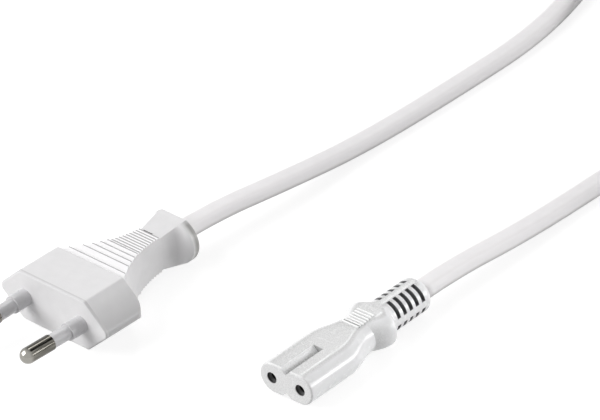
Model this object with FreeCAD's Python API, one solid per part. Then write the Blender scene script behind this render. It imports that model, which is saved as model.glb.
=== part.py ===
"""Mains lead: a figure eight power connector, its flat cord and the two-pin plug at the far end.

Row frame: origin at the bottom centre of the connector, +Z up, the sockets' mouths face -Y and the
cord leaves towards +Y. The lead lies on the plane z = 0. All sizes are in millimetres.
"""
import FreeCAD, Part
import math
import os

Vector = FreeCAD.Vector

# Connector outside, with distances counted from its front face
CONNECTOR_LENGTH = 47.4
NOSE_WIDTH = 16.0
NOSE_HEIGHT = 8.0
NOSE_LENGTH = 14.9
FACE_ROUNDING = 0.5
GROOVE_WIDTH = 3.1
GROOVE_DEPTH = 1.6
GROOVE_LENGTH = 11.8
WAIST_AT = 25.4
WAIST_WIDTH = 10.9
WAIST_HEIGHT = 8.2
GRIP_AT = 30.6
GRIP_WIDTH = 14.6
GRIP_HEIGHT = 9.0
RELIEF_AT = 34.0
RELIEF_WIDTH = 9.2
RELIEF_HEIGHT = 8.6
RELIEF_END_ROUNDING = 1.8
RIDGE_COUNT = 7
RIDGE_FIRST_AT = 22.9
RIDGE_PITCH = 0.92
RIDGE_THICKNESS = 0.5
RIDGE_WIDTH = 5.0
RIDGE_HEIGHT = 0.3
RIDGE_ROOT = 0.8
SLOT_RINGS = 5
SLOT_FIRST_AT = 35.2
SLOT_PITCH = 2.2
SLOT_WIDTH = 1.2
SLOT_DEPTH = 1.35
SLOT_WEB = 1.8

# Connector inside
SOCKET_SPACING = 8.6
SOCKET_ENTRY_RADIUS = 1.45
FACE_SKIN = 1.5
INSERT_LENGTH = 15.5
INSERT_TUBE_RADIUS = 2.5
INSERT_WEB_HEIGHT = 2.2
INSERT_LIP = 1.0
CONTACT_BORE_RADIUS = 1.2
CONTACT_WALL = 0.45
CONTACT_SOCKET_LENGTH = 11.0
CONTACT_SLIT = 0.5
CONTACT_TAPER = 1.5
CRIMP_STANDS_OUT = 2.5
CRIMP_WALL = 0.75
CRIMP_DEPTH = 3.0
CONNECTOR_CORES_MEET = 29.5
CONNECTOR_SHEATH_AT = 34.0

# Cord
CORD_WIDTH = 6.0
CORD_THICKNESS = 3.8
CORE_RADIUS = 1.1
CORE_SPACING = 2.3
CONDUCTOR_RADIUS = 0.5
CORE_STRIP = 0.8
CORE_LEAD = 1.6
CORE_BEND_RADIUS = 5.0
CORD_EXIT_RUN = 12.0

# Plug outside, with distances counted from its front face
PLUG_WIDTH = 35.3
PLUG_HEIGHT = 13.7
PLUG_FLAT = 21.6
PLUG_BODY_LENGTH = 13.3
PLUG_SIDE_ROUNDING = 1.6
PLUG_FLAT_ROUNDING = 1.0
PLUG_RIM_ROUNDING = 0.5
PLUG_REAR_ROUNDING = 3.4
PLUG_REAR_ROOM = 0.15
NECK_START_WIDTH = 21.6
NECK_WAIST_WIDTH = 6.6
NECK_WAIST_AT = 33.4
NECK_START_HEIGHT = 11.6
NECK_END_HEIGHT = 8.9
WIDE_RIB_REARS = (15.4, 18.3, 20.3, 22.2, 23.9)
WIDE_RIB_RISE = 0.65
FINE_RIB_RISE = 0.45
RIB_ROOT = 0.8
FINE_RIB_PITCH = 0.98
FINE_RIB_COUNT = 9
HOLLOW_LENGTH = 0.8
HOLLOW_WIDTH = 3.0
HOLLOW_DEPTH = 1.3
HOLLOW_OFFSET = 1.0
FLANGE_AT = 39.6
FLANGE_WIDTH = 15.8
FLANGE_HEIGHT = 11.6
FLANGE_FLAT = 8.0
FLANGE_THICKNESS = 2.3
FLANGE_ROUNDING = 0.9
FLARE_POWER = 2.6

# Plug pins and inside
PIN_BASE_SPACING = 18.6
PIN_TIP_SPACING = 17.5
PIN_LENGTH = 19.0
PIN_RADIUS = 2.0
PIN_CORE_RADIUS = 1.45
PIN_HEAD_RADIUS = 2.6
PIN_HEAD_THICKNESS = 1.2
SLEEVE_LENGTH = 10.0
SLEEVE_RADIUS = 1.8
SLEEVE_ROOT = 1.8
COLLAR_LENGTH = 4.5
COLLAR_RADIUS = 2.2
BRIDGE_FRONT = 1.8
BRIDGE_WIDTH = 26.0
BRIDGE_HEIGHT = 7.4
BRIDGE_LENGTH = 4.0
PLUG_CRIMP_LENGTH = 3.5
PLUG_CORES_MEET = 25.5
PLUG_SHEATH_AT = 32.5

# Where the plug lies beside the connector
PLUG_FACE_X = -62.0
PLUG_FACE_Y = -35.7
PLUG_YAW = -1.7

# Put-away coil of the cord and its tie
COIL_X = -26.5
COIL_Y = 199.8
COIL_TURN_RADIUS = 33.0
COIL_COLUMNS = 3
COIL_LAYERS = 2
COIL_ROUNDING = 1.5
TIE_THICKNESS = 0.8
TIE_WIDTH = 7.0
TIE_BEARING = 90.0

FACE_Y = -CONNECTOR_LENGTH / 2
PLUG_AXIS_Z = PLUG_HEIGHT / 2
PLUG_LENGTH = FLANGE_AT + FLANGE_THICKNESS
CONTACT_RADIUS = CONTACT_BORE_RADIUS + CONTACT_WALL
CRIMP_RADIUS = CONDUCTOR_RADIUS + CRIMP_WALL
CORD_REST_Z = CORD_THICKNESS / 2
COIL_BASE_Z = TIE_THICKNESS
COIL_LOW_Z = COIL_BASE_Z + CORD_THICKNESS / 2
COIL_TOP_Z = COIL_BASE_Z + (COIL_LAYERS - 0.5) * CORD_THICKNESS
COIL_OUTER_X = COIL_TURN_RADIUS + (COIL_COLUMNS - 1) * CORD_WIDTH / 2
LOFT_STEPS = 6
# Share of the shorter run beside a bend that its arc takes up
ARC_SHARE = 0.45
# Share of its inner poles' offset that a cubic curve reaches
CUBIC_REACH = 0.75
ABOVE_Z = Vector(0, 0, 1)
ALONG_Y = Vector(0, 1, 0)


def ease(start, end, share):
    """Smooth change from start to end, level at both ends."""
    return start + (end - start) * (1 - math.cos(math.pi * share)) / 2


def swell(start, end, share):
    """Change from start to end that sets off at once and levels out."""
    return start + (end - start) * math.sin(math.pi / 2 * share)


def ridge_foot(index):
    """Half height of the grip where a ridge stands on it."""
    distance = RIDGE_FIRST_AT + index * RIDGE_PITCH
    share = min(1.0, max(0.0, (distance - WAIST_AT) / (GRIP_AT - WAIST_AT)))
    return swell(WAIST_HEIGHT, GRIP_HEIGHT, share) / 2


# The connector lies on its highest ridge, or on its grip or tail where they stand lower
AXIS_Z = max(ridge_foot(RIDGE_COUNT - 1) + RIDGE_HEIGHT, GRIP_HEIGHT / 2, RELIEF_HEIGHT / 2)


def box_about(centre, size_x, size_y, size_z):
    corner = centre - Vector(size_x, size_y, size_z) * 0.5
    return Part.makeBox(size_x, size_y, size_z, corner)


def stadium(width, height, centre):
    """Closed wire in a plane of constant y: flat top and bottom with half-round sides."""
    radius = height / 2
    flat = width / 2 - radius
    upper_left, upper_right = centre + Vector(-flat, 0, radius), centre + Vector(flat, 0, radius)
    lower_left, lower_right = centre + Vector(-flat, 0, -radius), centre + Vector(flat, 0, -radius)
    right = centre + Vector(width / 2, 0, 0)
    left = centre - Vector(width / 2, 0, 0)
    top = Part.LineSegment(upper_left, upper_right).toShape()
    right_side = Part.Arc(upper_right, right, lower_right).toShape()
    bottom = Part.LineSegment(lower_right, lower_left).toShape()
    left_side = Part.Arc(lower_left, left, upper_left).toShape()
    return Part.Wire([top, right_side, bottom, left_side])


def prism(wire, length):
    return Part.Face(wire).extrude(ALONG_Y * length)


def lofted_length(first, last, shape_of):
    """Loft of stadiums from one distance to the next, with widths and heights given by a rule."""
    sections = []
    for step in range(LOFT_STEPS + 1):
        share = step / LOFT_STEPS
        width, height = shape_of(share)
        centre = Vector(0, FACE_Y + first + share * (last - first), AXIS_Z)
        sections.append(stadium(width, height, centre))
    return Part.makeLoft(sections, True, False)


def narrowing():
    def shape_of(share):
        return ease(NOSE_WIDTH, WAIST_WIDTH, share), ease(NOSE_HEIGHT, WAIST_HEIGHT, share)
    return lofted_length(NOSE_LENGTH, WAIST_AT, shape_of)


def grip_front():
    def shape_of(share):
        return swell(WAIST_WIDTH, GRIP_WIDTH, share), swell(WAIST_HEIGHT, GRIP_HEIGHT, share)
    return lofted_length(WAIST_AT, GRIP_AT, shape_of)


def grip_rear():
    def shape_of(share):
        return ease(GRIP_WIDTH, RELIEF_WIDTH, share), ease(GRIP_HEIGHT, RELIEF_HEIGHT, share)
    return lofted_length(GRIP_AT, RELIEF_AT, shape_of)


def nose():
    """Straight front part, with the front edge rounded."""
    block = prism(stadium(NOSE_WIDTH, NOSE_HEIGHT, Vector(0, FACE_Y, AXIS_Z)), NOSE_LENGTH)
    front = [edge for edge in block.Edges if edge.BoundBox.YMax < FACE_Y + FACE_ROUNDING]
    return block.makeFillet(FACE_ROUNDING, front)


def groove(side):
    """V groove along the middle of the nose, on the top (side 1) or the bottom (side -1)."""
    surface = NOSE_HEIGHT / 2
    spread = GROOVE_WIDTH / 2 * (1 + FACE_ROUNDING / GROOVE_DEPTH)
    centre = Vector(0, FACE_Y, AXIS_Z)
    points = [
        centre + Vector(-spread, 0, side * (surface + FACE_ROUNDING)),
        centre + Vector(0, 0, side * (surface - GROOVE_DEPTH)),
        centre + Vector(spread, 0, side * (surface + FACE_ROUNDING)),
    ]
    return prism(Part.makePolygon(points + points[:1]), GROOVE_LENGTH)


def ridges(side):
    """Fine bars across the top (side 1) or the bottom (side -1) of the grip."""
    bars = []
    for index in range(RIDGE_COUNT):
        distance = RIDGE_FIRST_AT + index * RIDGE_PITCH
        centre = Vector(0, FACE_Y + distance, AXIS_Z + side * (ridge_foot(index) + RIDGE_HEIGHT - RIDGE_ROOT))
        bars.append(box_about(centre, RIDGE_WIDTH, RIDGE_THICKNESS, 2 * RIDGE_ROOT))
    return bars


def strain_relief():
    """Round tail of the moulding, cut by rings of slots with four webs between them."""
    start = Vector(0, FACE_Y + RELIEF_AT, AXIS_Z)
    tail = prism(stadium(RELIEF_WIDTH, RELIEF_HEIGHT, start), CONNECTOR_LENGTH - RELIEF_AT)
    rear = [edge for edge in tail.Edges if edge.BoundBox.YMin > CONNECTOR_LENGTH / 2 - RELIEF_END_ROUNDING]
    tail = tail.makeFillet(RELIEF_END_ROUNDING, rear)
    return tail.cut(Part.makeCompound([slot_ring(index) for index in range(SLOT_RINGS)]))


def slot_ring(index):
    centre = Vector(0, FACE_Y + SLOT_FIRST_AT + index * SLOT_PITCH, AXIS_Z)
    front = centre - ALONG_Y * (SLOT_WIDTH / 2)
    reach = 2 * RELIEF_WIDTH
    floor = stadium(RELIEF_WIDTH - 2 * SLOT_DEPTH, RELIEF_HEIGHT - 2 * SLOT_DEPTH, front)
    flat_web = box_about(centre, reach, SLOT_WIDTH, SLOT_WEB)
    upright_web = box_about(centre, SLOT_WEB, SLOT_WIDTH, reach)
    return box_about(centre, reach, SLOT_WIDTH, reach).cut([prism(floor, SLOT_WIDTH), flat_web, upright_web])


def connector_outside():
    body = nose().fuse([narrowing(), grip_front(), grip_rear(), strain_relief()])
    body = body.fuse(ridges(1) + ridges(-1))
    return body.cut([groove(1), groove(-1)]).removeSplitter()


def socket_axis(side, distance):
    return Vector(side * SOCKET_SPACING / 2, FACE_Y + distance, AXIS_Z)


def entry_hole(side, length):
    return Part.makeCylinder(SOCKET_ENTRY_RADIUS, length, socket_axis(side, 0), ALONG_Y)


def contact_outline():
    """Radii and distances of the contact's outside, from its mouth to the crimp behind the insert."""
    mouth = FACE_SKIN + INSERT_LIP
    taper = mouth + CONTACT_SOCKET_LENGTH
    crimp = taper + CONTACT_TAPER
    end = FACE_SKIN + INSERT_LENGTH + CRIMP_STANDS_OUT
    return [(CONTACT_RADIUS, mouth), (CONTACT_RADIUS, taper), (CRIMP_RADIUS, crimp), (CRIMP_RADIUS, end)]


def turned(side, profile):
    """Solid turned about a socket's axis from points of radius and distance."""
    base = socket_axis(side, 0)
    points = [base + Vector(radius, distance, 0) for radius, distance in profile]
    face = Part.Face(Part.makePolygon(points + points[:1]))
    return face.revolve(base, ALONG_Y, 360)


def contact_envelope(side):
    outline = contact_outline()
    return turned(side, [(0, outline[0][1])] + outline + [(0, outline[-1][1])])


def contact(side):
    """Sprung socket of formed metal with a slit along its top and a crimp barrel behind it."""
    outline = contact_outline()
    mouth = outline[0][1]
    floor = outline[1][1]
    end = outline[-1][1]
    crimp = [(CONDUCTOR_RADIUS, end), (CONDUCTOR_RADIUS, end - CRIMP_DEPTH), (0, end - CRIMP_DEPTH)]
    bore = [(0, floor), (CONTACT_BORE_RADIUS, floor), (CONTACT_BORE_RADIUS, mouth)]
    metal = turned(side, outline + crimp + bore)
    middle = socket_axis(side, (mouth + floor) / 2) + ABOVE_Z * CONTACT_RADIUS
    return metal.cut(box_about(middle, CONTACT_SLIT, floor - mouth, 2 * CONTACT_WALL + CONTACT_SLIT))


def connector_insert():
    """Hard carrier of the two contacts: two tubes and the web that joins them."""
    tubes = [Part.makeCylinder(INSERT_TUBE_RADIUS, INSERT_LENGTH, socket_axis(side, FACE_SKIN), ALONG_Y)
             for side in (-1, 1)]
    middle = Vector(0, FACE_Y + FACE_SKIN + INSERT_LENGTH / 2, AXIS_Z)
    web = box_about(middle, SOCKET_SPACING, INSERT_LENGTH, INSERT_WEB_HEIGHT)
    block = tubes[0].fuse([tubes[1], web]).removeSplitter()
    lips = [entry_hole(side, FACE_SKIN + INSERT_LIP) for side in (-1, 1)]
    return block.cut(lips + [contact_envelope(side) for side in (-1, 1)])


def rounded_path(points, radii):
    """Straight runs joined by tangent arcs, with one radius for each inner point."""
    edges = []
    start = points[0]
    for before, corner, after, radius in zip(points, points[1:], points[2:], radii):
        back = (before - corner).normalize()
        ahead = (after - corner).normalize()
        half_turn = (math.pi - back.getAngle(ahead)) / 2
        reach = radius * math.tan(half_turn)
        inward = (back + ahead).normalize()
        middle = corner + inward * (radius / math.cos(half_turn) - radius)
        edges.append(Part.LineSegment(start, corner + back * reach).toShape())
        edges.append(Part.Arc(corner + back * reach, middle, corner + ahead * reach).toShape())
        start = corner + ahead * reach
    edges.append(Part.LineSegment(start, points[-1]).toShape())
    return Part.Wire(edges)


def round_rod(points, radius):
    """Round rod along the points, bent at each inner point."""
    path = rounded_path(points, [CORE_BEND_RADIUS] * (len(points) - 2))
    section = Part.Wire(Part.makeCircle(radius, points[0], points[1] - points[0]))
    return path.makePipeShell([section], True, True)


def insulation(points):
    return round_rod(points, CORE_RADIUS).cut(round_rod(points, CONDUCTOR_RADIUS))


def connector_core_route(side, first):
    """Route of one core from a distance behind the face to the end of the strain relief."""
    crimp_end = contact_outline()[-1][1]
    bend = crimp_end + CORE_STRIP + CORE_LEAD
    inner = side * CORE_SPACING / 2
    return [
        socket_axis(side, first),
        socket_axis(side, bend),
        Vector(inner, FACE_Y + CONNECTOR_CORES_MEET, AXIS_Z),
        Vector(inner, FACE_Y + CONNECTOR_LENGTH, AXIS_Z),
    ]


def connector_conductor(side):
    return round_rod(connector_core_route(side, contact_outline()[-1][1] - CRIMP_DEPTH), CONDUCTOR_RADIUS)


def connector_core(side):
    return insulation(connector_core_route(side, contact_outline()[-1][1] + CORE_STRIP))


def sheath_end(start, length):
    """End of the flat cord's sheath, with room for its two cores."""
    sheath = prism(stadium(CORD_WIDTH, CORD_THICKNESS, start), length)
    cores = [Part.makeCylinder(CORE_RADIUS, length, start + Vector(side * CORE_SPACING / 2, 0, 0), ALONG_Y)
             for side in (-1, 1)]
    return sheath.cut(cores)


def connector_nodes():
    nodes = {"connector_insert": connector_insert()}
    for name, side in (("left", -1), ("right", 1)):
        nodes["contact_" + name] = contact(side)
        nodes["connector_conductor_" + name] = connector_conductor(side)
        nodes["connector_core_" + name] = connector_core(side)
    start = Vector(0, FACE_Y + CONNECTOR_SHEATH_AT, AXIS_Z)
    nodes["cord_end_in_connector"] = sheath_end(start, CONNECTOR_LENGTH - CONNECTOR_SHEATH_AT)
    envelopes = [contact_envelope(side) for side in (-1, 1)]
    holes = [entry_hole(side, FACE_SKIN + INSERT_LIP) for side in (-1, 1)]
    seats = [shape for name, shape in nodes.items() if not name.startswith("contact")]
    nodes["connector_housing"] = connector_outside().cut(seats + envelopes + holes)
    return nodes


def plug_section():
    """Six-sided section of the plug's body at its front face, with round side corners."""
    flat = PLUG_FLAT / 2
    half = PLUG_HEIGHT / 2
    centre_x = PLUG_WIDTH / 2 - PLUG_SIDE_ROUNDING
    away = math.atan2(half, flat - centre_x)
    turn = away - math.acos(PLUG_SIDE_ROUNDING / math.hypot(half, flat - centre_x))
    touch_x = centre_x + PLUG_SIDE_ROUNDING * math.cos(turn)
    touch_z = PLUG_SIDE_ROUNDING * math.sin(turn)
    edges = []
    outline = ((flat, half), (touch_x, touch_z), (PLUG_WIDTH / 2, 0), (touch_x, -touch_z), (flat, -half))
    for side in (1, -1):
        corner, upper, outer, lower, next_corner = [
            Vector(side * x, 0, PLUG_AXIS_Z + side * z) for x, z in outline]
        edges.append(Part.LineSegment(corner, upper).toShape())
        edges.append(Part.Arc(upper, outer, lower).toShape())
        edges.append(Part.LineSegment(lower, next_corner).toShape())
        edges.append(Part.LineSegment(next_corner, next_corner - Vector(side * PLUG_FLAT, 0, 0)).toShape())
    return Part.Wire(edges)


def plug_body():
    block = prism(plug_section(), PLUG_BODY_LENGTH)
    block = block.makeFillet(PLUG_FLAT_ROUNDING, [edge for edge in block.Edges if beside_flat(edge)])
    front = [edge for edge in block.Edges if edge.BoundBox.YMax < PLUG_RIM_ROUNDING]
    block = block.makeFillet(PLUG_RIM_ROUNDING, front).common(plug_plan())
    flats = [edge for edge in block.Edges if is_rear_flat(edge)]
    return block.makeFillet(PLUG_RIM_ROUNDING, flats)


def plug_plan():
    """Room of the plug's body in plan, with its two rear corners rounded off."""
    corner = Vector(-PLUG_WIDTH / 2 - PLUG_REAR_ROOM, -PLUG_BODY_LENGTH, 0)
    room = Part.makeBox(PLUG_WIDTH + 2 * PLUG_REAR_ROOM, 2 * PLUG_BODY_LENGTH, PLUG_HEIGHT, corner)
    rear = [edge for edge in room.Edges
            if edge.BoundBox.ZLength > PLUG_HEIGHT / 2 and edge.BoundBox.YMin > PLUG_BODY_LENGTH / 2]
    return room.makeFillet(PLUG_REAR_ROUNDING, rear)


def is_rear_flat(edge):
    """True for the two edges between the body's flats and its rear face."""
    box = edge.BoundBox
    at_rear = box.YMin > PLUG_BODY_LENGTH - PLUG_RIM_ROUNDING
    return at_rear and box.XLength > PLUG_FLAT / 2 and box.ZLength < PLUG_RIM_ROUNDING


def beside_flat(edge):
    """True for the four long edges where the plug's flats meet its slanted sides."""
    along = edge.BoundBox.YLength > PLUG_BODY_LENGTH / 2
    return along and abs(edge.CenterOfMass.z - PLUG_AXIS_Z) > PLUG_HEIGHT / 3


def bezier(poles):
    curve = Part.BezierCurve()
    curve.setPoles(poles)
    return curve.toShape()


def neck_half_width(distance):
    """Half width of the neck: a parabola that runs out level at its waist."""
    left = max(0.0, 1 - (distance - PLUG_BODY_LENGTH) / (NECK_WAIST_AT - PLUG_BODY_LENGTH))
    return (NECK_WAIST_WIDTH + (NECK_START_WIDTH - NECK_WAIST_WIDTH) * left ** 2) / 2


def neck_plan():
    """Plan of the neck, with the same parabola as a curve on each side."""
    start = PLUG_BODY_LENGTH - PLUG_RIM_ROUNDING
    wide = neck_half_width(start)
    narrow = NECK_WAIST_WIDTH / 2
    half_way = (start + NECK_WAIST_AT) / 2
    right = bezier([Vector(wide, start, 0), Vector(narrow, half_way, 0), Vector(narrow, NECK_WAIST_AT, 0)])
    left = bezier([Vector(-narrow, NECK_WAIST_AT, 0), Vector(-narrow, half_way, 0), Vector(-wide, start, 0)])
    rear = Part.LineSegment(Vector(narrow, NECK_WAIST_AT, 0), Vector(-narrow, NECK_WAIST_AT, 0)).toShape()
    front = Part.LineSegment(Vector(-wide, start, 0), Vector(wide, start, 0)).toShape()
    return Part.Face(Part.Wire([right, rear, left, front])).extrude(ABOVE_Z * PLUG_HEIGHT)


def neck_side_band(low, high):
    """Band across the plug between two heights above its mid-plane, both falling along the neck."""
    start = PLUG_BODY_LENGTH - PLUG_RIM_ROUNDING
    fall = (NECK_START_HEIGHT - NECK_END_HEIGHT) / 2
    outline = ((start, low), (NECK_WAIST_AT, low - fall), (NECK_WAIST_AT, high - fall), (start, high))
    points = [Vector(-PLUG_WIDTH / 2, y, PLUG_AXIS_Z + z) for y, z in outline]
    return Part.Face(Part.makePolygon(points + points[:1])).extrude(Vector(PLUG_WIDTH, 0, 0))


def mirrored_down(shape):
    return shape.mirror(Vector(0, 0, PLUG_AXIS_Z), ABOVE_Z)


def neck_core():
    upper = neck_side_band(0, NECK_START_HEIGHT / 2)
    core = neck_plan().common(upper)
    return core.fuse(mirrored_down(core)).removeSplitter()


def rib_rows():
    """Front distance, rear distance and rise of each rib: wide ones first, then the fine ones."""
    fine = [WIDE_RIB_REARS[-1] + (index + 1) * FINE_RIB_PITCH for index in range(FINE_RIB_COUNT)]
    rears = list(WIDE_RIB_REARS) + fine
    fronts = [PLUG_BODY_LENGTH - PLUG_RIM_ROUNDING] + rears[:-1]
    rises = [WIDE_RIB_RISE] * len(WIDE_RIB_REARS) + [FINE_RIB_RISE] * len(fine)
    return list(zip(fronts, rears, rises))


def neck_top(distance):
    """Height of the neck's top above the mid-plane, without its ribs."""
    start = PLUG_BODY_LENGTH - PLUG_RIM_ROUNDING
    share = (distance - start) / (NECK_WAIST_AT - start)
    return (NECK_START_HEIGHT + (NECK_END_HEIGHT - NECK_START_HEIGHT) * share) / 2


def neck_ribs():
    """Steps across the top of the neck, each rising rearwards and then dropping to the next."""
    wedges = []
    for front, rear, rise in rib_rows():
        low_front, low_rear = neck_top(front), neck_top(rear)
        below = ((front, low_front - RIB_ROOT), (rear, low_rear - RIB_ROOT))
        outline = below + ((rear, low_rear + rise), (front, low_front))
        points = [Vector(-PLUG_WIDTH / 2, y, PLUG_AXIS_Z + z) for y, z in outline]
        wedges.append(Part.Face(Part.makePolygon(points + points[:1])).extrude(Vector(PLUG_WIDTH, 0, 0)))
    return wedges[0].fuse(wedges[1:]).common(neck_plan())


def flange_section(share, distance):
    """Section of the end flange: flat top and bottom, bowed sides that swell as share goes to 1."""
    flat = (NECK_WAIST_WIDTH + (FLANGE_FLAT - NECK_WAIST_WIDTH) * share) / 2
    side = (NECK_WAIST_WIDTH + (FLANGE_WIDTH - NECK_WAIST_WIDTH) * share ** FLARE_POWER) / 2
    top = (NECK_END_HEIGHT + (FLANGE_HEIGHT - NECK_END_HEIGHT) * share) / 2
    bow = flat + (side - flat) / CUBIC_REACH
    centre = Vector(0, distance, PLUG_AXIS_Z)
    bowed = ((flat, top), (bow, top / 2), (bow, -top / 2), (flat, -top))
    right = [centre + Vector(x, 0, z) for x, z in bowed]
    left = [centre + Vector(-x, 0, -z) for x, z in bowed]
    below = Part.LineSegment(right[-1], left[0]).toShape()
    above = Part.LineSegment(left[-1], right[0]).toShape()
    return Part.Wire([bezier(right), below, bezier(left), above])


def flange():
    """Flare from the neck's waist up to the rim that ends the plug."""
    sections = []
    for step in range(LOFT_STEPS + 1):
        share = step / LOFT_STEPS
        sections.append(flange_section(share, NECK_WAIST_AT + (FLANGE_AT - NECK_WAIST_AT) * share))
    flare = Part.makeLoft(sections, True, False)
    rim = prism(flange_section(1, FLANGE_AT), FLANGE_THICKNESS)
    rear = [edge for edge in rim.Edges if edge.BoundBox.YMin > PLUG_LENGTH - FLANGE_THICKNESS / 4]
    return flare.fuse(rim.makeFillet(FLANGE_ROUNDING, rear))


def neck_hollow():
    """Small hollow behind the last rib, on the left of the ridge line."""
    front = rib_rows()[-1][1]
    centre = Vector(-HOLLOW_OFFSET, front + HOLLOW_LENGTH / 2, PLUG_AXIS_Z + neck_top(front))
    return box_about(centre, HOLLOW_WIDTH, HOLLOW_LENGTH, 2 * HOLLOW_DEPTH)


def plug_outside():
    ribs = neck_ribs()
    shell = plug_body().fuse([neck_core(), flange(), ribs, mirrored_down(ribs)])
    return shell.cut(neck_hollow()).removeSplitter()


def pin_angle():
    return math.atan2((PIN_BASE_SPACING - PIN_TIP_SPACING) / 2, PIN_LENGTH)


def on_pin(side, distance):
    """Point on a pin's axis, with the distance counted along it, rearwards from the plug's face."""
    lean = pin_angle()
    base = Vector(side * PIN_BASE_SPACING / 2, 0, PLUG_AXIS_Z)
    return base + Vector(side * math.sin(lean), math.cos(lean), 0) * distance


def pin_turned(side, profile):
    """Solid turned about a pin's axis from edges drawn at the origin along +Y."""
    solid = Part.Face(Part.Wire(profile)).revolve(Vector(0, 0, 0), ALONG_Y, 360)
    solid.rotate(Vector(0, 0, 0), ABOVE_Z, -side * math.degrees(pin_angle()))
    solid.translate(on_pin(side, 0))
    return solid


def line_profile(points):
    return [Part.LineSegment(Vector(*first, 0), Vector(*second, 0)).toShape()
            for first, second in zip(points, points[1:]) if first != second]


def pin_rear():
    return BRIDGE_FRONT + BRIDGE_LENGTH + PLUG_CRIMP_LENGTH


def pin(side):
    """Round-tipped pin, thinner inside its sleeve, with a head in the bridge and a crimp barrel."""
    shoulder = -SLEEVE_LENGTH
    cheek = PIN_RADIUS - PIN_LENGTH
    head = BRIDGE_FRONT + BRIDGE_LENGTH
    tip = Part.Arc(Vector(0, -PIN_LENGTH, 0), tip_middle(), Vector(PIN_RADIUS, cheek, 0)).toShape()
    outside = line_profile([
        (PIN_RADIUS, cheek), (PIN_RADIUS, shoulder), (PIN_CORE_RADIUS, shoulder),
        (PIN_CORE_RADIUS, head - PIN_HEAD_THICKNESS), (PIN_HEAD_RADIUS, head - PIN_HEAD_THICKNESS),
        (PIN_HEAD_RADIUS, head), (CRIMP_RADIUS, head), (CRIMP_RADIUS, pin_rear()),
        (CONDUCTOR_RADIUS, pin_rear()), (CONDUCTOR_RADIUS, pin_rear() - CRIMP_DEPTH),
        (0, pin_rear() - CRIMP_DEPTH), (0, -PIN_LENGTH)])
    return pin_turned(side, [tip] + outside)


def tip_middle():
    slant = PIN_RADIUS * math.sqrt(0.5)
    return Vector(slant, PIN_RADIUS - PIN_LENGTH - slant, 0)


def pin_envelope(side):
    """Room that the pin takes inside the plug, with its crimp barrel filled."""
    head = BRIDGE_FRONT + BRIDGE_LENGTH
    outline = [
        (0, -SLEEVE_LENGTH), (PIN_CORE_RADIUS, -SLEEVE_LENGTH), (PIN_CORE_RADIUS, head - PIN_HEAD_THICKNESS),
        (PIN_HEAD_RADIUS, head - PIN_HEAD_THICKNESS), (PIN_HEAD_RADIUS, head), (CRIMP_RADIUS, head),
        (CRIMP_RADIUS, pin_rear()), (0, pin_rear()), (0, -SLEEVE_LENGTH)]
    return pin_turned(side, line_profile(outline))


def sleeve_outline(inner_radius):
    return [(inner_radius, -SLEEVE_LENGTH), (SLEEVE_RADIUS, -SLEEVE_LENGTH), (SLEEVE_RADIUS, -COLLAR_LENGTH),
            (COLLAR_RADIUS, -COLLAR_LENGTH), (COLLAR_RADIUS, SLEEVE_ROOT), (inner_radius, SLEEVE_ROOT),
            (inner_radius, -SLEEVE_LENGTH)]


def pin_sleeve(side):
    """Insulating sleeve with the thicker collar that stands in the plug's face."""
    return pin_turned(side, line_profile(sleeve_outline(PIN_CORE_RADIUS)))


def plug_bridge():
    """Hard carrier that holds the two pins behind the plug's face."""
    centre = Vector(0, BRIDGE_FRONT + BRIDGE_LENGTH / 2, PLUG_AXIS_Z)
    block = box_about(centre, BRIDGE_WIDTH, BRIDGE_LENGTH, BRIDGE_HEIGHT)
    return block.cut([cut(side) for cut in (pin_envelope, pin_sleeve) for side in (-1, 1)])


def plug_core_route(side, first):
    """Route of one core from a distance behind the pin's base to the end of the flange."""
    inner = side * CORE_SPACING / 2
    return [
        on_pin(side, first),
        on_pin(side, pin_rear() + CORE_STRIP + CORE_LEAD),
        Vector(inner, PLUG_CORES_MEET, PLUG_AXIS_Z),
        Vector(inner, PLUG_LENGTH, PLUG_AXIS_Z),
    ]


def plug_nodes():
    nodes = {"plug_bridge": plug_bridge()}
    for name, side in (("left", -1), ("right", 1)):
        nodes["pin_" + name] = pin(side)
        nodes["pin_sleeve_" + name] = pin_sleeve(side)
        conductor = plug_core_route(side, pin_rear() - CRIMP_DEPTH)
        nodes["plug_conductor_" + name] = round_rod(conductor, CONDUCTOR_RADIUS)
        nodes["plug_core_" + name] = insulation(plug_core_route(side, pin_rear() + CORE_STRIP))
    start = Vector(0, PLUG_SHEATH_AT, PLUG_AXIS_Z)
    nodes["cord_end_in_plug"] = sheath_end(start, PLUG_LENGTH - PLUG_SHEATH_AT)
    seats = [shape for name, shape in nodes.items() if name not in ("pin_left", "pin_right")]
    nodes["plug_housing"] = plug_outside().cut(seats + [pin_envelope(side) for side in (-1, 1)])
    return {name: placed_as_plug(shape) for name, shape in nodes.items()}


def placed_as_plug(shape):
    """Move a piece from the plug's own frame to where the plug lies."""
    placed = shape.copy()
    placed.rotate(Vector(0, 0, 0), ABOVE_Z, PLUG_YAW)
    placed.translate(Vector(PLUG_FACE_X, PLUG_FACE_Y, 0))
    return placed


def plug_exit(distance):
    """Point on the plug's axis, a distance behind its face."""
    yaw = math.radians(PLUG_YAW)
    return Vector(PLUG_FACE_X - math.sin(yaw) * distance, PLUG_FACE_Y + math.cos(yaw) * distance, PLUG_AXIS_Z)


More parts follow.
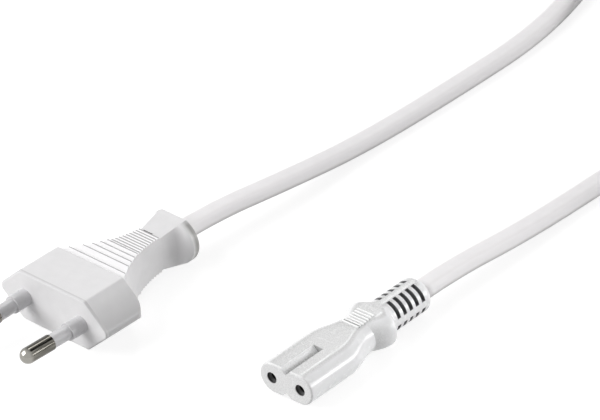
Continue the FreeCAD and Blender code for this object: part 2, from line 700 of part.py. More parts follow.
def connector_cord_points():
    """Route of the cord from the connector, along the floor, to the top layer of the coil."""
    return [
        Vector(0, FACE_Y + CONNECTOR_LENGTH, AXIS_Z),
        Vector(0, FACE_Y + CONNECTOR_LENGTH + CORD_EXIT_RUN, AXIS_Z),
        Vector(1.4, 57.8, 3.2),
        Vector(1.5, 81.8, CORD_REST_Z),
        Vector(2.2, 111.8, CORD_REST_Z),
        Vector(5.6, 141.8, CORD_REST_Z),
        Vector(9.0, 161.8, 4.6),
        Vector(COIL_X + COIL_OUTER_X, 181.8, COIL_TOP_Z),
        Vector(COIL_X + COIL_OUTER_X, COIL_Y, COIL_TOP_Z),
    ]


def plug_cord_points():
    """Route of the cord from the plug, along the floor, to the lowest layer of the coil."""
    return [
        plug_exit(PLUG_LENGTH),
        plug_exit(PLUG_LENGTH + CORD_EXIT_RUN),
        Vector(-57.6, 40.8, 5.2),
        Vector(-56.9, 67.8, 2.0),
        Vector(-55.4, 99.8, CORD_REST_Z),
        Vector(-55.0, 139.8, CORD_REST_Z),
        Vector(COIL_X - COIL_OUTER_X, 177.8, COIL_LOW_Z),
        Vector(COIL_X - COIL_OUTER_X, COIL_Y, COIL_LOW_Z),
    ]


def arc_radii(points):
    """Radius at each inner point: as large as its two runs allow."""
    radii = []
    for before, corner, after in zip(points, points[1:], points[2:]):
        back = before - corner
        ahead = after - corner
        half_turn = (math.pi - back.getAngle(ahead)) / 2
        radii.append(ARC_SHARE * min(back.Length, ahead.Length) / math.tan(half_turn))
    return radii


def flat_cord(name, points):
    """Flat cord swept along its route with its width kept level."""
    radii = arc_radii(points)
    path = rounded_path(points, radii)
    heading = points[1] - points[0]
    section = stadium(CORD_WIDTH, CORD_THICKNESS, Vector(0, 0, 0))
    section.rotate(Vector(0, 0, 0), ABOVE_Z, math.degrees(math.atan2(-heading.x, heading.y)))
    section.translate(points[0])
    sweep = Part.BRepOffsetAPI.MakePipeShell(path)
    sweep.setBiNormalMode(ABOVE_Z)
    sweep.add(section, False, False)
    sweep.build()
    sweep.makeSolid()
    solid = sweep.shape()
    expected = Part.Face(section).Area * path.Length
    print(name, "radii", [round(radius) for radius in radii], "length", round(path.Length, 1),
          "volume share", round(solid.Volume / expected, 4))
    return solid


def coil():
    """Outer shape of the coiled cord: a ring as wide and high as its turns."""
    width = COIL_COLUMNS * CORD_WIDTH
    height = COIL_LAYERS * CORD_THICKNESS
    base = Vector(COIL_X, COIL_Y, COIL_BASE_Z)
    ring = Part.makeCylinder(COIL_TURN_RADIUS + width / 2, height, base)
    ring = ring.cut(Part.makeCylinder(COIL_TURN_RADIUS - width / 2, height, base))
    rims = [edge for edge in ring.Edges if edge.BoundBox.ZLength < COIL_ROUNDING]
    return ring.makeFillet(COIL_ROUNDING, rims)


def cord_tie():
    """Band round the coil's section, on the side away from the connector."""
    width = COIL_COLUMNS * CORD_WIDTH
    height = COIL_LAYERS * CORD_THICKNESS
    middle = Vector(COIL_X + COIL_TURN_RADIUS, COIL_Y, COIL_BASE_Z + height / 2)
    band = box_about(middle, width + 2 * TIE_THICKNESS, TIE_WIDTH, height + 2 * TIE_THICKNESS)
    corners = [edge for edge in band.Edges if edge.BoundBox.YLength > TIE_WIDTH / 2]
    band = band.makeFillet(COIL_ROUNDING + TIE_THICKNESS, corners)
    band.rotate(Vector(COIL_X, COIL_Y, 0), ABOVE_Z, TIE_BEARING)
    return band.cut(coil())


def cord_nodes():
    ring = coil()
    return {
        "cord_coil": ring,
        "cord_tie": cord_tie(),
        "cord_from_connector": flat_cord("cord_from_connector", connector_cord_points()).cut(ring),
        "cord_to_plug": flat_cord("cord_to_plug", plug_cord_points()).cut(ring),
    }


def main():
    os.makedirs("parts", exist_ok=True)
    nodes = {}
    nodes.update(connector_nodes())
    nodes.update(plug_nodes())
    nodes.update(cord_nodes())
    for name, shape in nodes.items():
        print(name, "solids", len(shape.Solids), "volume", round(shape.Volume, 1), "valid", shape.isValid())
        shape.exportStep("parts/" + name + ".step")


main()
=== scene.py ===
"""Looks of the white mains lead.

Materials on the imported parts, the flat cord with its coil, and a pale studio.
"""

import math

import bpy
from mathutils import Matrix, Vector


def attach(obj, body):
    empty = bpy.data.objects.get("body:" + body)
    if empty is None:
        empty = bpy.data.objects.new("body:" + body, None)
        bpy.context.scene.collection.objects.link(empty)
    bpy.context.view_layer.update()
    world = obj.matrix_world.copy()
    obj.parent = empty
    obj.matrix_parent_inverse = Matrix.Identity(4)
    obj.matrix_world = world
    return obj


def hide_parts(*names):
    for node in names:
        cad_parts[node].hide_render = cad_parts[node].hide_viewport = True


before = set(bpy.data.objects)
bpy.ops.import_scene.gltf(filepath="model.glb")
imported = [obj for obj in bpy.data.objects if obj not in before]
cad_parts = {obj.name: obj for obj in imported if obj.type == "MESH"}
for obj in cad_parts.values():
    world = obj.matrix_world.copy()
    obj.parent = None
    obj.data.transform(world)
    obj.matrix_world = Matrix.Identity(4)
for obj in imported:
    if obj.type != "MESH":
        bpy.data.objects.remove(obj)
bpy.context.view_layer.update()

MM = 0.001

# Camera, from the photograph's own perspective
PHOTO_WIDTH = 600
FOCAL_PIXELS = 5000
SENSOR_WIDTH = 36.0
CAMERA_AT = Vector((0.650397, -0.709960, 0.652920))
CAMERA_HEADING = Vector((-0.6834, 0.7300, 0.0))
CAMERA_DOWN = 0.5664213
CAMERA_ROLL = -0.0641137
CAMERA_NEAR = 0.05
CAMERA_FAR = 20.0

# Connector, in millimetres, with y from the middle of its length
CONNECTOR_AXIS_Z = 4.7164
CONNECTOR_REAR = 23.7
CONNECTOR_FACE_Y = -CONNECTOR_REAR
SOCKET_X = 4.3
SOCKET_ROOM = 1.5
SOCKET_END_Y = -18.0
RIDGES_REACH = (-1.05, 4.97)
RIDGE_PITCH = 0.92
RIDGE_SHARE = 0.54
RIDGE_HALF_WIDTH = 2.5
GROOVE_HALF_WIDTH = 1.5
GROOVE_REACH = (-23.2, -11.5)
GROOVE_END = (-12.05, -11.45)
RELIEF_HALF_FLAT = 0.3
SLOTS_REACH = (10.6, 21.2)

# Where the connector's painted shade and highlight fade, in millimetres: behind its face in a socket's hole,
# from its axis up or down in a groove, and out from the strain relief's core in a slot
HOLE_EDGE = (0.05, 0.25)
HOLE_DEPTH = (0.5, 1.1)
GROOVE_MOUTH = (3.7, 4.0)
GROOVE_FLOOR = (2.65, 3.15)
SLOT_EDGE = (4.1, 4.25)

# Plug, in millimetres, with distances from its face towards the cord
PLUG_FACE = (-62.0, -35.7)
PLUG_YAW = math.radians(-1.7)
PLUG_AXIS_Z = 6.85
PLUG_LENGTH = 41.9
PLUG_BODY_LENGTH = 13.3
PLUG_RIM_SHADE = (0.05, 0.75)
WIDE_RIBS = (15.4, 18.3, 20.3, 22.2, 23.9)
FINE_PITCH = 0.98
FINE_RIBS_END = 32.72
RIB_SHADOW_WIDTH = 0.26
HOLLOW_REACH = (FINE_RIBS_END + 0.05, FINE_RIBS_END + 1)
HOLLOW_ACROSS = (-2.6, 0.6)
HOLLOW_HEIGHTS = (9.5, 11.25)

# Where the plug's painted shade and highlight fade, in millimetres: up its sides, and along its flange and
# its pins
BODY_SIDE_SHADE_HEIGHTS = (PLUG_AXIS_Z, 12.5)
FLANGE_HIGHLIGHT = (37.2, 38.8)
FLANGE_SHADE = (39.2, 40.6)
PIN_TIP_HIGHLIGHT = (-17.8, -16.8)

# Parts of a surface's normal between which a painted shade and highlight fade, or from which they are there:
# what faces up or down, the connector's face, the plug's ribs and sides, and the cord's sides and underside
LEVEL = (0.9, 0.985)
FORWARDS = (0.2, 0.6)
RIB_LEVEL = 0.8
RIB_LEANING = (-0.13, -0.05)
SIDEWAYS = (0.4, 0.6)
CORD_SIDE_HIGHLIGHT = (0.82, 1.0)
CORD_UNDER_SHADE = (-0.55, 0.1)

# Grain of the moulded plastic: sizes in millimetres and changes of its roughness
MOTTLE_SIZE = 3.2
SHEEN_SIZE = 1.4
SHEEN_SMOOTHER = 0.05
SHEEN_ROUGHER = 0.06
WAVE_SIZE = 4.0
SPECKLE_SIZE = 0.3

# Grain of the metals: sizes in millimetres, and how much longer the marks are than wide
TARNISH_SIZE = 1.8
STREAK_SIZE = 0.6
MARK_SIZE = 0.12
DRAWN = (1.0, 30.0, 1.0)

# Part of a noise's values that spans its two colours: a narrow part for hard spots
SOFT = (0.3, 0.7)
HARD = (0.38, 0.62)
TARNISH = (0.35, 0.75)

# Cord, in millimetres but for its length in metres
CORD_WIDTH = 6.0
CORD_THICKNESS = 3.8
CORD_SIDES = 12
SPLINE_STEPS = 10
EXIT_RUN = 12.0
FLOOR_Z = CORD_THICKNESS / 2
COIL_CENTRE = (-26.5, 199.8)
COIL_RADIUS = 33.0
COIL_BASE = 0.8
LOW_Z = COIL_BASE + FLOOR_Z
TOP_Z = LOW_Z + CORD_THICKNESS
COIL_EAST = COIL_CENTRE[0] + COIL_RADIUS + CORD_WIDTH
COIL_WEST = COIL_CENTRE[0] - COIL_RADIUS - CORD_WIDTH
COIL_HALF_TURNS = 11
POINTS_PER_TURN = 16

# Each change of place in the coil: the turn's number, the share of the turn where it starts and ends,
# and how far it goes outwards and upwards, in cord widths and thicknesses
COIL_MOVES = (
    (0, 0.77, 0.93, -1, 0),
    (1, 0.77, 0.93, -1, 0),
    (2, 0.66, 0.81, 0, -1),
    (3, 0.54, 0.70, 1, 0),
    (4, 0.54, 0.70, 1, 0),
)

# Studio, in metres: values named as seen are for the camera and reflections, the others light the object
WHITE = (1.0, 1.0, 1.0, 1.0)
MATT = 0.9
WORLD_LIGHT = 0.3
WORLD_SEEN = 1.0
FLOOR_HALF = 1.5
FLOOR_GREY = 0.62
FLOOR_GREY_SEEN = 0.3
FLOOR_GLOW_SEEN = 0.82
FLAG_HALF_WIDTH = 0.2
FLAG_HALF_DEPTH = 0.12
FLAG_AT = (0.12, 0.42, 0.64)
FLAG_FACING = (0.17, 0.45, 0.63)
FLAG_COLOUR = (0.02, 0.02, 0.02, 1.0)

# Lamps: name, place, point aimed at, width and height in metres, power in watts, spread in degrees
OBJECT_MIDDLE = (-0.02, 0.02, 0.0)
CONNECTOR_MIDDLE = (0.0, 0.0, 0.005)
LAMPS = (
    ("key_left", (-0.70, -0.70, 0.70), OBJECT_MIDDLE, (1.0, 1.0), 14.0, 180),
    ("low_behind_right", (0.68, 0.82, 0.24), OBJECT_MIDDLE, (0.7, 0.15), 4.0, 180),
    ("near_right", (0.13, 0.11, 0.055), CONNECTOR_MIDDLE, (0.1, 0.05), 0.0045, 32),
    ("strip_behind_left", (-0.42, 0.54, 0.66), OBJECT_MIDDLE, (0.1, 0.4), 1.0, 180),
)


def plug_axis(distance):
    """Point on the plug's axis, a distance behind its face."""
    x = PLUG_FACE[0] - math.sin(PLUG_YAW) * distance
    return x, PLUG_FACE[1] + math.cos(PLUG_YAW) * distance, PLUG_AXIS_Z


# Control points of the cord, which repeat those of the part, in millimetres
FROM_CONNECTOR = [
    (0, CONNECTOR_REAR, CONNECTOR_AXIS_Z),
    (0, CONNECTOR_REAR + EXIT_RUN, CONNECTOR_AXIS_Z),
    (1.4, 57.8, 3.2),
    (1.5, 81.8, FLOOR_Z),
    (2.2, 111.8, FLOOR_Z),
    (5.6, 141.8, FLOOR_Z),
    (9.0, 161.8, 4.6),
    (COIL_EAST, 181.8, TOP_Z),
    (COIL_EAST, COIL_CENTRE[1], TOP_Z),
]
FROM_PLUG = [
    plug_axis(PLUG_LENGTH),
    plug_axis(PLUG_LENGTH + EXIT_RUN),
    (-57.6, 40.8, 5.2),
    (-56.9, 67.8, 2.0),
    (-55.4, 99.8, FLOOR_Z),
    (-55.0, 139.8, FLOOR_Z),
    (COIL_WEST, 177.8, LOW_Z),
    (COIL_WEST, COIL_CENTRE[1], LOW_Z),
]


def placed(name, data):
    """New object that holds this data, in the scene."""
    item = bpy.data.objects.new(name, data)
    bpy.context.scene.collection.objects.link(item)
    return item


def make_camera():
    """Camera at the photograph's place, from its heading, downward tilt and roll."""
    heading = CAMERA_HEADING.normalized()
    level = Vector((heading.y, -heading.x, 0.0))
    up = Vector((0.0, 0.0, 1.0))
    forward = heading * math.cos(CAMERA_DOWN) - up * math.sin(CAMERA_DOWN)
    above = heading * math.sin(CAMERA_DOWN) + up * math.cos(CAMERA_DOWN)
    right = level * math.cos(CAMERA_ROLL) + above * math.sin(CAMERA_ROLL)
    top = above * math.cos(CAMERA_ROLL) - level * math.sin(CAMERA_ROLL)
    data = bpy.data.cameras.new("camera")
    data.sensor_width = SENSOR_WIDTH
    data.lens = FOCAL_PIXELS / PHOTO_WIDTH * SENSOR_WIDTH
    data.clip_start = CAMERA_NEAR
    data.clip_end = CAMERA_FAR
    camera = placed("camera", data)
    axes = Matrix((right, top, -forward)).transposed().to_4x4()
    camera.matrix_world = Matrix.Translation(CAMERA_AT) @ axes
    bpy.context.scene.camera = camera


def eased(value, start, end):
    """0 before start, 1 after end, and a smooth change between them."""
    share = min(1.0, max(0.0, (value - start) / (end - start)))
    return share * share * (3 - 2 * share)


def coil_points():
    """Turns from the top outer one inwards, down a layer and outwards again, crossing over on one side."""
    turn_step = 2 * math.pi / POINTS_PER_TURN
    points = []
    for index in range(POINTS_PER_TURN * COIL_HALF_TURNS // 2):
        turns = (index + 0.5) / POINTS_PER_TURN
        radius, height = COIL_RADIUS + CORD_WIDTH, TOP_Z
        for number, start, end, outwards, upwards in COIL_MOVES:
            share = eased(turns, number + start, number + end)
            radius += outwards * CORD_WIDTH * share
            height += upwards * CORD_THICKNESS * share
        corner = radius / math.cos(turn_step / 2)
        angle = 2 * math.pi * turns
        x = COIL_CENTRE[0] + corner * math.cos(angle)
        y = COIL_CENTRE[1] + corner * math.sin(angle)
        points.append((x, y, height))
    return points


def cord_line():
    """Centreline of the whole cord, read from one smooth spline through the route's control points."""
    route = FROM_CONNECTOR + coil_points() + FROM_PLUG[::-1]
    curve = bpy.data.curves.new("cord_line", "CURVE")
    curve.dimensions = "3D"
    curve.resolution_u = SPLINE_STEPS
    spline = curve.splines.new("NURBS")
    spline.points.add(len(route) - 1)
    for point, place in zip(spline.points, route):
        point.co = (*(Vector(place) * MM), 1.0)
    spline.order_u = 3
    spline.use_endpoint_u = True
    holder = placed("cord_line", curve)
    bpy.context.view_layer.update()
    line = bpy.data.meshes.new_from_object(holder)
    points = [vertex.co.copy() for vertex in line.vertices]
    bpy.data.objects.remove(holder)
    bpy.data.meshes.remove(line)
    return points


def cord_section():
    """Flat oval section as pairs of sideways and upwards offsets, in metres."""
    radius = CORD_THICKNESS / 2
    flat = CORD_WIDTH / 2 - radius
    section = []
    for side in (1, -1):
        for step in range(CORD_SIDES + 1):
            angle = math.pi * (step / CORD_SIDES - 0.5)
            across = side * (flat + radius * math.cos(angle))
            section.append((across * MM, side * radius * math.sin(angle) * MM))
    return section


def cord_mesh(line, section):
    """Tube of this section along the line, closed at both ends and smooth along its sides."""
    up = Vector((0.0, 0.0, 1.0))
    vertices = []
    for index, point in enumerate(line):
        along = (line[min(index + 1, len(line) - 1)] - line[max(index - 1, 0)]).normalized()
        side = along.cross(up).normalized()
        above = side.cross(along)
        vertices += [point + side * across + above * high for across, high in section]
    count = len(section)
    faces = []
    for ring in range(len(line) - 1):
        for step in range(count):
            following = (step + 1) % count
            base = ring * count
            faces.append((base + step, base + count + step, base + count + following, base + following))
    faces.append(tuple(range(count)))
    faces.append(tuple(reversed(range(len(vertices) - count, len(vertices)))))
    mesh = bpy.data.meshes.new("flat_cord")
    mesh.from_pydata(vertices, [], faces)
    mesh.polygons.foreach_set("use_smooth", [len(face) == 4 for face in faces])
    return mesh


def make_cord(material):
    """The drawn cord with its coil, in place of the solids that stand for it."""
    line = cord_line()
    cord = placed("flat_cord", cord_mesh(line, cord_section()))
    cord.data.materials.append(material)
    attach(cord, "root")
    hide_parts("cord_from_connector", "cord_coil", "cord_to_plug")
    carried = [node for name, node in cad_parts.items() if name.startswith(("plug", "pin"))]
    carried += [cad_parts["cord_end_in_plug"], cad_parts["cord_tie"]]


class Nodes:
    """Procedural nodes in one node tree."""

    def __init__(self, tree):
        self.tree = tree

    def add(self, kind, links=(), **settings):
        """New node with its settings made, and each named input linked or set."""
        node = self.tree.nodes.new(kind)
        for name, value in settings.items():
            setattr(node, name, value)
        for socket, source in dict(links).items():
            self.join(source, node.inputs[socket])
        return node

    def join(self, source, socket):
        """Link the source to the socket, or set the socket if the source is a plain value."""
        if isinstance(source, bpy.types.NodeSocket):
            self.tree.links.new(source, socket)
        else:
            socket.default_value = source

    def math(self, operation, *values):
        """Result of one step of arithmetic."""
        return self.add("ShaderNodeMath", dict(enumerate(values)), operation=operation).outputs[0]

    def spread(self, source, low, high, span):
        """From low to high as the source goes from one end of the span to the other."""
        limits = {"Value": source, "From Min": span[0], "From Max": span[1], "To Min": low, "To Max": high}
        return self.add("ShaderNodeMapRange", limits).outputs[0]

    def rise(self, source, span, unit=1.0):
        """0 up to the start of the span, and 1 from its end."""
        return self.spread(source, 0.0, 1.0, (span[0] * unit, span[1] * unit))

    def fall(self, source, span, unit=1.0):
        """1 up to the start of the span, and 0 from its end."""
        return self.spread(source, 1.0, 0.0, (span[0] * unit, span[1] * unit))

    def seen(self):
        """1 for what the camera sees, also in a reflection or through something clear."""
        path = self.add("ShaderNodeLightPath").outputs
        shown = self.math("MAXIMUM", path["Is Camera Ray"], path["Is Glossy Ray"])
        return self.math("MAXIMUM", shown, path["Is Transmission Ray"])


class Finish(Nodes):
    """A material whose colour, roughness and bump are built up from procedural nodes."""

    def __init__(self, name, **values):
        self.material = bpy.data.materials.new(name)
        self.material.use_nodes = True
        super().__init__(self.material.node_tree)
        self.shader = self.tree.nodes["Principled BSDF"]
        for socket, value in values.items():
            self.shader.inputs[socket].default_value = value

    def give(self, socket, source):
        """Join the source to one of the shader's sockets."""
        self.join(source, self.shader.inputs[socket])

    def place(self):
        """Place on the object, in metres."""
        return self.add("ShaderNodeTexCoord").outputs["Object"]

    def split(self, vector):
        """The three parts of a vector."""
        return self.add("ShaderNodeSeparateXYZ", {0: vector}).outputs

    def facing(self):
        """The three parts of the surface's normal."""
        return self.split(self.add("ShaderNodeNewGeometry").outputs["Normal"])

    def noise(self, size, detail, stretch=(1.0, 1.0, 1.0)):
        """Noise with features of about this size in millimetres, longer where stretch is over 1."""
        scale = [1 / (size * MM * factor) for factor in stretch]
        mapping = self.add("ShaderNodeMapping", {"Vector": self.place(), "Scale": scale})
        settings = {"Vector": mapping.outputs[0], "Scale": 1.0, "Detail": detail}
        return self.add("ShaderNodeTexNoise", settings).outputs[0]

    def under(self, value, limit):
        """1 where the value is less than a distance in millimetres."""
        return self.math("LESS_THAN", value, limit * MM)

    def between(self, value, reach):
        """1 where the value lies between two distances in millimetres."""
        above = self.math("GREATER_THAN", value, reach[0] * MM)
        return self.math("MULTIPLY", above, self.under(value, reach[1]))

    def all_of(self, first, *others):
        """1 where every one of the masks is 1."""
        for mask in others:
            first = self.math("MULTIPLY", first, mask)
        return first

    def through_pitch(self, value, start, pitch):
        """Share of the way through each repeat of a pattern, given in millimetres."""
        steps = self.math("DIVIDE", self.math("SUBTRACT", value, start * MM), pitch * MM)
        return self.math("FRACT", steps)

    def length_of(self, first, second):
        """Length of a line with these two parts at right angles."""
        squares = [self.math("POWER", value, 2.0) for value in (first, second)]
        return self.math("SQRT", self.math("ADD", *squares))

    def blend(self, factor, first, second):
        """Colour between two, the second where the factor is 1."""
        node = self.add("ShaderNodeMix", data_type="RGBA")
        for name, source in (("Factor_Float", factor), ("A_Color", first), ("B_Color", second)):
            self.join(source, next(s for s in node.inputs if s.identifier == name))
        return next(s for s in node.outputs if s.identifier == "Result_Color")

    def paint(self, mask, colour):
        """Lay a colour over the base colour where the mask is 1."""
        before = self.shader.inputs["Base Color"].links[0].from_socket
        self.give("Base Color", self.blend(mask, before, colour))

    def bump(self, height, strength, distance):
        """Raise the surface by the height, over what was raised before, by a distance in millimetres."""
        before = self.shader.inputs["Normal"].links
        links = {"Height": height, "Strength": strength, "Distance": distance * MM}
        if before:
            links["Normal"] = before[0].from_socket
        self.give("Normal", self.add("ShaderNodeBump", links).outputs[0])


def rgb(red, green, blue):
    """Linear colour of a display colour from 0 to 255, with full alpha."""
    linear = [((v / 255 + 0.055) / 1.055) ** 2.4 if v > 10.3 else v / 255 / 12.92 for v in (red, green, blue)]
    return (*linear, 1.0)


def grey(level):
    """Linear colour of a neutral display level from 0 to 255."""
    return rgb(level, level, level)


def moulded(name, pale, shade, roughness, grain_size=0.16, grain=0.12, specular=0.5):
    """Soft moulded plastic: faint mottling, an uneven sheen, a fine grain and slow waves of the mould."""
    finish = Finish(name, **{"Specular IOR Level": specular})
    mottle = finish.rise(finish.noise(MOTTLE_SIZE, detail=4.0), SOFT)
    finish.give("Base Color", finish.blend(mottle, pale, shade))
    uneven = finish.noise(SHEEN_SIZE, detail=3.0)
    sheen = finish.spread(uneven, roughness - SHEEN_SMOOTHER, roughness + SHEEN_ROUGHER, SOFT)
    finish.give("Roughness", sheen)
    finish.bump(finish.noise(grain_size, detail=2.0), strength=grain, distance=0.02)
    finish.bump(finish.noise(WAVE_SIZE, detail=1.0), strength=0.08, distance=0.1)
    return finish


def connector_plastic():
    """The connector's moulding: near-white flanks as painted highlight, painted highlight on its ridges and
    groove walls, and painted shade on its flats, ridge gaps, groove bottoms and ends, slots and socket holes.
    """
    # The near-white base, paler than the plug's same plastic, is a painted highlight on the flanks.
    finish = moulded("connector_plastic", rgb(249, 249, 250), rgb(244, 244, 245), roughness=0.24)
    speckle = finish.rise(finish.noise(SPECKLE_SIZE, detail=3.0), HARD)
    x, y, z = finish.split(finish.place())
    sideways = finish.math("ABSOLUTE", x)
    up = finish.math("SUBTRACT", z, CONNECTOR_AXIS_Z * MM)
    paint_flat_shade(finish, speckle)
    paint_ridge_light_and_shade(finish, sideways, y)
    paint_slot_shade(finish, sideways, y, up)
    paint_groove_light_and_shade(finish, speckle, sideways, y, up)
    paint_socket_shade(finish, sideways, y, up)
    return finish.material


def paint_flat_shade(finish, speckle):
    """Painted shade: a darker grey, with the moulding's speckle, on what faces up or down and on the
    connector's face.
    """
    facing = finish.facing()
    level = finish.rise(finish.math("ABSOLUTE", facing[2]), LEVEL)
    finish.paint(level, finish.blend(speckle, grey(200), grey(222)))
    forwards = finish.rise(finish.math("MULTIPLY", facing[1], -1.0), FORWARDS)
    finish.paint(forwards, finish.blend(speckle, grey(220), grey(238)))


def paint_ridge_light_and_shade(finish, sideways, y):
    """Painted highlight on the ridges across the grip, and painted shade in the gaps between them."""
    along = finish.through_pitch(y, RIDGES_REACH[0], RIDGE_PITCH)
    on_ridge = finish.math("LESS_THAN", along, RIDGE_SHARE)
    ridges = finish.all_of(finish.between(y, RIDGES_REACH), finish.under(sideways, RIDGE_HALF_WIDTH))
    finish.paint(ridges, finish.blend(on_ridge, grey(186), grey(250)))


def paint_slot_shade(finish, sideways, y, up):
    """Painted shade on the floors and walls in the strain relief's slots."""
    beside = finish.math("MAXIMUM", finish.math("SUBTRACT", sideways, RELIEF_HALF_FLAT * MM), 0.0)
    deep = finish.fall(finish.length_of(beside, up), SLOT_EDGE, MM)
    finish.paint(finish.all_of(finish.between(y, SLOTS_REACH), deep), rgb(112, 112, 113))


def paint_groove_light_and_shade(finish, speckle, sideways, y, up):
    """Painted highlight on the walls in the nose's grooves, and painted shade in a line along their bottom
    and at their end.
    """
    height = finish.math("ABSOLUTE", up)
    narrow = finish.under(sideways, GROOVE_HALF_WIDTH)
    groove = finish.all_of(narrow, finish.between(y, GROOVE_REACH))
    sunk = finish.fall(height, GROOVE_MOUTH, MM)
    finish.paint(finish.all_of(groove, sunk), finish.blend(speckle, grey(236), grey(254)))
    bottom = finish.all_of(groove, finish.fall(height, GROOVE_FLOOR, MM))
    finish.paint(bottom, finish.blend(speckle, grey(186), grey(222)))
    finish.paint(finish.all_of(narrow, finish.between(y, GROOVE_END), sunk), grey(170))


def paint_socket_shade(finish, sideways, y, up):
    """Painted shade in the sockets' holes, darkest near their mouths."""
    from_socket = finish.length_of(finish.math("SUBTRACT", sideways, SOCKET_X * MM), up)
    in_hole = finish.all_of(finish.under(from_socket, SOCKET_ROOM), finish.under(y, SOCKET_END_Y))
    behind_face = finish.math("SUBTRACT", y, CONNECTOR_FACE_Y * MM)
    holes = finish.all_of(in_hole, finish.rise(behind_face, HOLE_EDGE, MM))
    inside = finish.rise(behind_face, HOLE_DEPTH, MM)
    finish.paint(holes, finish.blend(inside, rgb(84, 84, 85), rgb(150, 150, 151)))


def on_plug(finish):
    """Place sideways from the plug's axis, behind its face and above the floor, in metres."""
    face = (PLUG_FACE[0] * MM, PLUG_FACE[1] * MM, 0.0)
    turned = {"Vector": finish.place(), "Location": face, "Rotation": (0.0, 0.0, PLUG_YAW)}
    return finish.split(finish.add("ShaderNodeMapping", turned, vector_type="TEXTURE").outputs[0])


def plug_plastic():
    """The plug's moulding: painted highlight on the ribs with a painted shadow line behind each, painted
    shade on its lower sides, front rim and in the hollow before the flange, and a painted highlight band and
    a painted shade band on the flange.
    """
    finish = moulded("plug_plastic", rgb(232, 231, 232), rgb(227, 226, 227), roughness=0.38)
    facing = finish.facing()
    x, behind, z = on_plug(finish)
    level = finish.math("GREATER_THAN", finish.math("ABSOLUTE", facing[2]), RIB_LEVEL)
    leaning = finish.fall(facing[1], RIB_LEANING)
    ribbed = finish.between(behind, (PLUG_BODY_LENGTH, FINE_RIBS_END))
    # Painted highlight on the ribs' tops.
    finish.paint(finish.all_of(ribbed, level, leaning), rgb(254, 253, 254))
    sideways = finish.rise(finish.math("ABSOLUTE", facing[0]), SIDEWAYS)
    low = finish.fall(z, BODY_SIDE_SHADE_HEIGHTS, MM)
    # Painted shade low on the body's sides, then on its front rim.
    finish.paint(finish.all_of(finish.under(behind, PLUG_BODY_LENGTH), sideways, low), rgb(188, 187, 188))
    finish.paint(finish.between(behind, PLUG_RIM_SHADE), rgb(208, 207, 208))
    # A painted highlight band, then a painted shade band, on the flange's sides.
    finish.paint(finish.all_of(finish.rise(behind, FLANGE_HIGHLIGHT, MM), sideways), rgb(254, 253, 254))
    finish.paint(finish.all_of(finish.rise(behind, FLANGE_SHADE, MM), sideways), rgb(168, 167, 165))
    # Painted shadow lines behind the ribs, then painted shade in the hollow before the flange.
    finish.paint(finish.all_of(rib_shadow_lines(finish, behind), level), rgb(172, 171, 172))
    across = finish.all_of(finish.between(x, HOLLOW_ACROSS), finish.between(z, HOLLOW_HEIGHTS))
    finish.paint(finish.all_of(finish.between(behind, HOLLOW_REACH), across), rgb(120, 119, 118))
    return finish.material


def rib_shadow_lines(finish, behind):
    """1 along the rear of each of the plug's ribs, wide and fine, where a painted shadow line lies."""
    along = finish.through_pitch(behind, WIDE_RIBS[-1], FINE_PITCH)
    at_rear = finish.math("GREATER_THAN", along, 1 - RIB_SHADOW_WIDTH / FINE_PITCH)
    lines = finish.all_of(at_rear, finish.between(behind, (WIDE_RIBS[-1], FINE_RIBS_END)))
    for rear in WIDE_RIBS:
        line = finish.between(behind, (rear - RIB_SHADOW_WIDTH, rear + RIB_SHADOW_WIDTH / 2))
        lines = finish.math("MAXIMUM", lines, line)
    return lines


def cord_plastic():
    """The cord's sheath: a painted highlight on its sides and painted shade underneath."""
    finish = moulded("cord_plastic", rgb(243, 241, 242), rgb(239, 237, 238), roughness=0.58,
                     grain_size=0.3, grain=0.1, specular=0.35)
    upwards = finish.facing()[2]
    finish.paint(finish.fall(upwards, CORD_SIDE_HIGHLIGHT), rgb(254, 252, 253))
    finish.paint(finish.fall(upwards, CORD_UNDER_SHADE), rgb(204, 202, 203))
    return finish.material


def worked_metal(name, smooth, rough):
    """Metal with fine marks of drawing along it, between these two roughnesses."""
    finish = Finish(name, Metallic=1.0)
    marks = finish.noise(MARK_SIZE, detail=3.0, stretch=DRAWN)
    finish.give("Roughness", finish.spread(marks, smooth, rough, SOFT))
    finish.bump(marks, strength=0.12, distance=0.01)
    return finish


def tarnished_metal(name, colour, tarnish, smooth, rough):
    """Worked metal with patches of tarnish."""
    finish = worked_metal(name, smooth, rough)
    patches = finish.rise(finish.noise(TARNISH_SIZE, detail=4.0), TARNISH)
    finish.give("Base Color", finish.blend(patches, colour, tarnish))
    return finish.material


def pin_metal():
    """Dark bright-drawn metal with streaks along the pin and a painted highlight on its rounded tip."""
    finish = worked_metal("nickel_pin", smooth=0.07, rough=0.2)
    streaks = finish.rise(finish.noise(STREAK_SIZE, detail=3.0, stretch=DRAWN), HARD)
    finish.give("Base Color", finish.blend(streaks, rgb(80, 78, 73), rgb(134, 132, 125)))
    # Painted highlight on the rounded tip.
    finish.paint(finish.fall(on_plug(finish)[1], PIN_TIP_HIGHLIGHT, MM), rgb(160, 158, 152))
    return finish.material


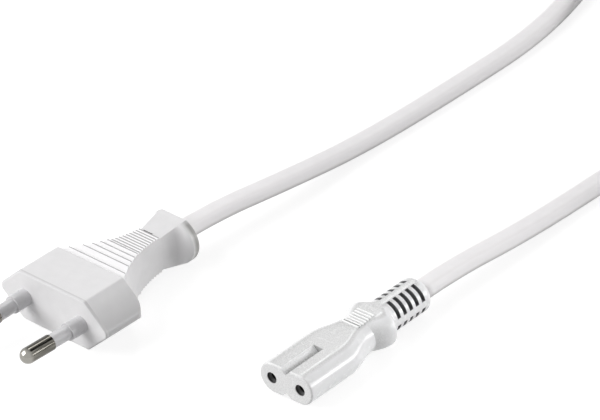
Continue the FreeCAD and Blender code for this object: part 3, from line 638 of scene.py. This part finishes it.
def dress():
    """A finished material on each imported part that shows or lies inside."""
    sheath = cord_plastic()
    nickel = pin_metal()
    brass = tarnished_metal("brass_contact", rgb(196, 172, 110), rgb(158, 134, 84), 0.27, 0.42)
    copper = tarnished_metal("copper_strands", rgb(196, 122, 84), rgb(160, 92, 60), 0.3, 0.45)
    blue = moulded("core_blue", rgb(70, 116, 176), rgb(60, 104, 162), 0.4, 0.25, 0.08).material
    brown = moulded("core_brown", rgb(116, 78, 52), rgb(100, 66, 44), 0.4, 0.25, 0.08).material
    sleeve = moulded("sleeve_plastic", rgb(211, 210, 212), rgb(203, 202, 204), 0.3, 0.2, 0.08).material
    carrier = moulded("carrier_plastic", rgb(58, 58, 60), rgb(46, 46, 48), 0.5, 0.2, 0.15).material
    finishes = {
        "connector_housing": connector_plastic(),
        "plug_housing": plug_plastic(),
        "connector_insert": carrier,
        "plug_bridge": carrier,
        "cord_tie": moulded("tie_plastic", grey(226), grey(216), 0.5, 0.35, 0.4).material,
        "pin_sleeve_left": sleeve,
        "pin_sleeve_right": sleeve,
        "pin_left": nickel,
        "pin_right": nickel,
    }
    for name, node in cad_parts.items():
        if name.startswith("contact"):
            chosen = brass
        elif "conductor" in name:
            chosen = copper
        elif "_core_" in name:
            chosen = blue if name.endswith("left") else brown
        else:
            chosen = finishes.get(name, sheath)
        for slot in node.material_slots:
            slot.material = chosen
    return sheath


def make_world():
    """White surroundings to the camera, and a dim even light on the object."""
    world = bpy.data.worlds.new("studio")
    bpy.context.scene.world = world
    world.use_nodes = True
    nodes = Nodes(world.node_tree)
    background = world.node_tree.nodes["Background"].inputs
    background["Color"].default_value = WHITE
    nodes.join(nodes.spread(nodes.seen(), WORLD_LIGHT, WORLD_SEEN, (0.0, 1.0)), background["Strength"])


def flat_sheet(name, half_width, half_depth, material):
    """Level rectangle about the origin."""
    corners = [(-half_width, -half_depth, 0), (half_width, -half_depth, 0),
               (half_width, half_depth, 0), (-half_width, half_depth, 0)]
    mesh = bpy.data.meshes.new(name)
    mesh.from_pydata([Vector(corner) for corner in corners], [], [(0, 1, 2, 3)])
    mesh.materials.append(material)
    return placed(name, mesh)


def make_floor():
    """Floor that is white to the camera where it is lit, and keeps the object's faint shadow."""
    finish = Finish("floor", **{"Roughness": MATT, "Specular IOR Level": 0.0, "Emission Color": WHITE})
    seen = finish.seen()
    finish.give("Base Color", finish.spread(seen, FLOOR_GREY, FLOOR_GREY_SEEN, (0.0, 1.0)))
    finish.give("Emission Strength", finish.math("MULTIPLY", seen, FLOOR_GLOW_SEEN))
    floor = flat_sheet("floor", FLOOR_HALF, FLOOR_HALF, finish.material)


def make_lights():
    """Soft rectangular lamps, none of which the camera sees."""
    for name, place, target, size, power, spread in LAMPS:
        data = bpy.data.lights.new(name, "AREA")
        data.shape = "RECTANGLE"
        data.size, data.size_y = size
        data.energy = power
        data.spread = math.radians(spread)
        light = placed(name, data)
        light.location = place
        light.rotation_euler = (Vector(target) - Vector(place)).to_track_quat("-Z", "Y").to_euler()
        light.visible_camera = False


def make_flag():
    """Dark card above and behind, out of the camera's sight, for the bright metal to reflect."""
    finish = Finish("flag", **{"Base Color": FLAG_COLOUR, "Roughness": MATT})
    flag = flat_sheet("flag", FLAG_HALF_WIDTH, FLAG_HALF_DEPTH, finish.material)
    flag.location = FLAG_AT
    flag.rotation_euler = Vector(FLAG_FACING).to_track_quat("Z", "Y").to_euler()
    flag.visible_camera = False


bpy.context.scene.view_settings.view_transform = "Standard"
make_camera()
sheath_finish = dress()
make_cord(sheath_finish)
make_world()
make_floor()
make_lights()
make_flag()
